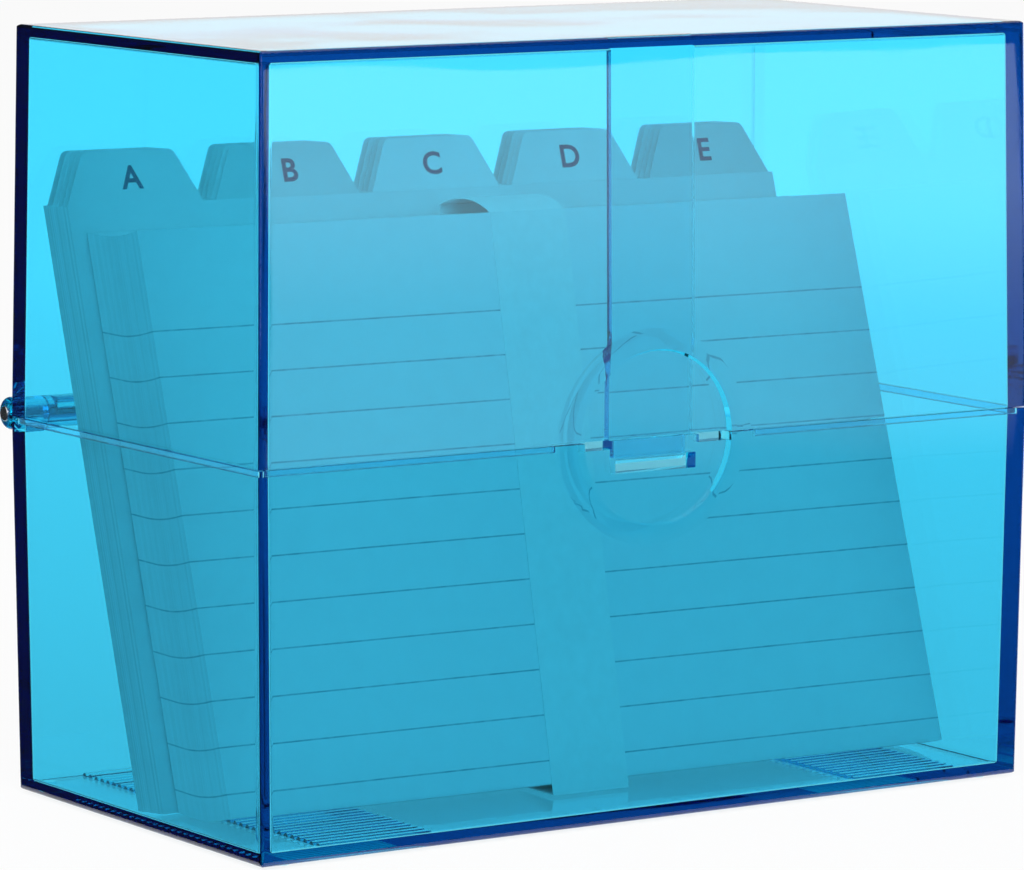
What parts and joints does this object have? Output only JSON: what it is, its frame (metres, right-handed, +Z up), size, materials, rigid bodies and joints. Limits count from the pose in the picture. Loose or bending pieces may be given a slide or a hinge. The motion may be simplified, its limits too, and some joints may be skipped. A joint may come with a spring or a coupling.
{
  "type": "index card box",
  "caption": "Clear blue flip-top index card box with a banded pack of ruled cards and lettered tab dividers leaning inside.",
  "frame": {"origin": "on the rest plane of the feet, under the middle of the whole object, hinge included", "axes": "+X to the right along the front, +Y from the front with the thumb recess to the hinge, +Z up"},
  "size_m": [0.1158, 0.0654, 0.0984],
  "materials": {
    "blue_shell": "clear tinted polystyrene, polished",
    "steel": "bright drawn wire",
    "card": "smooth white card stock",
    "paper": "plain white paper",
    "divider_sheet": "thin satin plastic sheet"
  },
  "bodies": {
    "tray": {"tray": "blue_shell", "hinge_rod": "steel"},
    "lid": {"lid": "blue_shell"},
    "card_pack": {"ruled_cards": "card", "paper_band": "paper"},
    "divider_a": {"divider_a": "divider_sheet"},
    "divider_b": {"divider_b": "divider_sheet"},
    "divider_c": {"divider_c": "divider_sheet"},
    "divider_d": {"divider_d": "divider_sheet"},
    "divider_e": {"divider_e": "divider_sheet"},
    "divider_f": {"divider_f": "divider_sheet"},
    "divider_g": {"divider_g": "divider_sheet"},
    "divider_h": {"divider_h": "divider_sheet"},
    "divider_i": {"divider_i": "divider_sheet"},
    "divider_j": {"divider_j": "divider_sheet"},
    "divider_k": {"divider_k": "divider_sheet"},
    "divider_l": {"divider_l": "divider_sheet"},
    "divider_m": {"divider_m": "divider_sheet"},
    "divider_n": {"divider_n": "divider_sheet"},
    "divider_o": {"divider_o": "divider_sheet"},
    "divider_p": {"divider_p": "divider_sheet"},
    "divider_q": {"divider_q": "divider_sheet"},
    "divider_r": {"divider_r": "divider_sheet"},
    "divider_s": {"divider_s": "divider_sheet"},
    "divider_t": {"divider_t": "divider_sheet"},
    "divider_u": {"divider_u": "divider_sheet"},
    "divider_v": {"divider_v": "divider_sheet"},
    "divider_w": {"divider_w": "divider_sheet"},
    "divider_xy": {"divider_xy": "divider_sheet"},
    "divider_z": {"divider_z": "divider_sheet"}
  },
  "joints": [
    {"name": "lid_hinge", "type": "hinge", "parent": "tray", "child": "lid", "pos_m": [0, 0.03065, 0.04855], "axis": [-1, 0, 0], "range_deg": [0, 165]},
    {"name": "pack_tilt", "type": "hinge", "parent": "tray", "child": "card_pack", "pos_m": [0.00049, -0.01931, 0.00205], "axis": [0.9996, -0.0297, 0], "range_deg": [0, 18.5]},
    {"name": "tilt_a", "type": "hinge", "parent": "tray", "child": "divider_a", "pos_m": [0.00087, -0.00645, 0.00223], "axis": [0.9996, -0.0297, 0], "range_deg": [0, 17.79]},
    {"name": "tilt_b", "type": "hinge", "parent": "tray", "child": "divider_b", "pos_m": [0.00088, -0.00631, 0.00223], "axis": [0.9996, -0.0297, 0], "range_deg": [0, 17.08]},
    {"name": "tilt_c", "type": "hinge", "parent": "tray", "child": "divider_c", "pos_m": [0.00088, -0.00616, 0.00223], "axis": [0.9996, -0.0297, 0], "range_deg": [0, 16.37]},
    {"name": "tilt_d", "type": "hinge", "parent": "tray", "child": "divider_d", "pos_m": [0.00089, -0.00602, 0.00223], "axis": [0.9996, -0.0297, 0], "range_deg": [0, 15.65]},
    {"name": "tilt_e", "type": "hinge", "parent": "tray", "child": "divider_e", "pos_m": [0.00089, -0.00588, 0.00223], "axis": [0.9996, -0.0297, 0], "range_deg": [0, 14.94]},
    {"name": "tilt_f", "type": "hinge", "parent": "tray", "child": "divider_f", "pos_m": [0.0009, -0.00574, 0.00223], "axis": [0.9996, -0.0297, 0], "range_deg": [0, 14.23]},
    {"name": "tilt_g", "type": "hinge", "parent": "tray", "child": "divider_g", "pos_m": [0.0009, -0.00559, 0.00223], "axis": [0.9996, -0.0297, 0], "range_deg": [0, 13.52]},
    {"name": "tilt_h", "type": "hinge", "parent": "tray", "child": "divider_h", "pos_m": [0.0009, -0.00545, 0.00223], "axis": [0.9996, -0.0297, 0], "range_deg": [0, 12.81]},
    {"name": "tilt_i", "type": "hinge", "parent": "tray", "child": "divider_i", "pos_m": [0.00091, -0.00531, 0.00223], "axis": [0.9996, -0.0297, 0], "range_deg": [0, 12.1]},
    {"name": "tilt_j", "type": "hinge", "parent": "tray", "child": "divider_j", "pos_m": [0.00091, -0.00517, 0.00223], "axis": [0.9996, -0.0297, 0], "range_deg": [0, 11.38]},
    {"name": "tilt_k", "type": "hinge", "parent": "tray", "child": "divider_k", "pos_m": [0.00092, -0.00502, 0.00223], "axis": [0.9996, -0.0297, 0], "range_deg": [0, 10.67]},
    {"name": "tilt_l", "type": "hinge", "parent": "tray", "child": "divider_l", "pos_m": [0.00092, -0.00488, 0.00223], "axis": [0.9996, -0.0297, 0], "range_deg": [0, 9.96]},
    {"name": "tilt_m", "type": "hinge", "parent": "tray", "child": "divider_m", "pos_m": [0.00093, -0.00474, 0.00223], "axis": [0.9996, -0.0297, 0], "range_deg": [0, 9.25]},
    {"name": "tilt_n", "type": "hinge", "parent": "tray", "child": "divider_n", "pos_m": [0.00093, -0.0046, 0.00223], "axis": [0.9996, -0.0297, 0], "range_deg": [0, 8.54]},
    {"name": "tilt_o", "type": "hinge", "parent": "tray", "child": "divider_o", "pos_m": [0.00093, -0.00446, 0.00223], "axis": [0.9996, -0.0297, 0], "range_deg": [0, 7.83]},
    {"name": "tilt_p", "type": "hinge", "parent": "tray", "child": "divider_p", "pos_m": [0.00094, -0.00431, 0.00223], "axis": [0.9996, -0.0297, 0], "range_deg": [0, 7.12]},
    {"name": "tilt_q", "type": "hinge", "parent": "tray", "child": "divider_q", "pos_m": [0.00094, -0.00417, 0.00223], "axis": [0.9996, -0.0297, 0], "range_deg": [0, 6.4]},
    {"name": "tilt_r", "type": "hinge", "parent": "tray", "child": "divider_r", "pos_m": [0.00095, -0.00403, 0.00223], "axis": [0.9996, -0.0297, 0], "range_deg": [0, 5.69]},
    {"name": "tilt_s", "type": "hinge", "parent": "tray", "child": "divider_s", "pos_m": [0.00095, -0.00389, 0.00223], "axis": [0.9996, -0.0297, 0], "range_deg": [0, 4.98]},
    {"name": "tilt_t", "type": "hinge", "parent": "tray", "child": "divider_t", "pos_m": [0.00096, -0.00374, 0.00223], "axis": [0.9996, -0.0297, 0], "range_deg": [0, 4.27]},
    {"name": "tilt_u", "type": "hinge", "parent": "tray", "child": "divider_u", "pos_m": [0.00096, -0.0036, 0.00223], "axis": [0.9996, -0.0297, 0], "range_deg": [0, 3.56]},
    {"name": "tilt_v", "type": "hinge", "parent": "tray", "child": "divider_v", "pos_m": [0.00096, -0.00346, 0.00223], "axis": [0.9996, -0.0297, 0], "range_deg": [0, 2.85]},
    {"name": "tilt_w", "type": "hinge", "parent": "tray", "child": "divider_w", "pos_m": [0.00097, -0.00332, 0.00223], "axis": [0.9996, -0.0297, 0], "range_deg": [0, 2.13]},
    {"name": "tilt_xy", "type": "hinge", "parent": "tray", "child": "divider_xy", "pos_m": [0.00097, -0.00317, 0.00223], "axis": [0.9996, -0.0297, 0], "range_deg": [0, 1.42]},
    {"name": "tilt_z", "type": "hinge", "parent": "tray", "child": "divider_z", "pos_m": [0.00098, -0.00303, 0.00223], "axis": [0.9996, -0.0297, 0], "range_deg": [0, 0.7116]}
  ],
  "couplings": [
    {"joint": "tilt_a", "follows": "pack_tilt", "ratio": 0.96154},
    {"joint": "tilt_b", "follows": "pack_tilt", "ratio": 0.92308},
    {"joint": "tilt_c", "follows": "pack_tilt", "ratio": 0.88462},
    {"joint": "tilt_d", "follows": "pack_tilt", "ratio": 0.84615},
    {"joint": "tilt_e", "follows": "pack_tilt", "ratio": 0.80769},
    {"joint": "tilt_f", "follows": "pack_tilt", "ratio": 0.76923},
    {"joint": "tilt_g", "follows": "pack_tilt", "ratio": 0.73077},
    {"joint": "tilt_h", "follows": "pack_tilt", "ratio": 0.69231},
    {"joint": "tilt_i", "follows": "pack_tilt", "ratio": 0.65385},
    {"joint": "tilt_j", "follows": "pack_tilt", "ratio": 0.61538},
    {"joint": "tilt_k", "follows": "pack_tilt", "ratio": 0.57692},
    {"joint": "tilt_l", "follows": "pack_tilt", "ratio": 0.53846},
    {"joint": "tilt_m", "follows": "pack_tilt", "ratio": 0.5},
    {"joint": "tilt_n", "follows": "pack_tilt", "ratio": 0.46154},
    {"joint": "tilt_o", "follows": "pack_tilt", "ratio": 0.42308},
    {"joint": "tilt_p", "follows": "pack_tilt", "ratio": 0.38461},
    {"joint": "tilt_q", "follows": "pack_tilt", "ratio": 0.34615},
    {"joint": "tilt_r", "follows": "pack_tilt", "ratio": 0.30769},
    {"joint": "tilt_s", "follows": "pack_tilt", "ratio": 0.26923},
    {"joint": "tilt_t", "follows": "pack_tilt", "ratio": 0.23077},
    {"joint": "tilt_u", "follows": "pack_tilt", "ratio": 0.19231},
    {"joint": "tilt_v", "follows": "pack_tilt", "ratio": 0.15385},
    {"joint": "tilt_w", "follows": "pack_tilt", "ratio": 0.11539},
    {"joint": "tilt_xy", "follows": "pack_tilt", "ratio": 0.076923},
    {"joint": "tilt_z", "follows": "pack_tilt", "ratio": 0.038462}
  ]
}
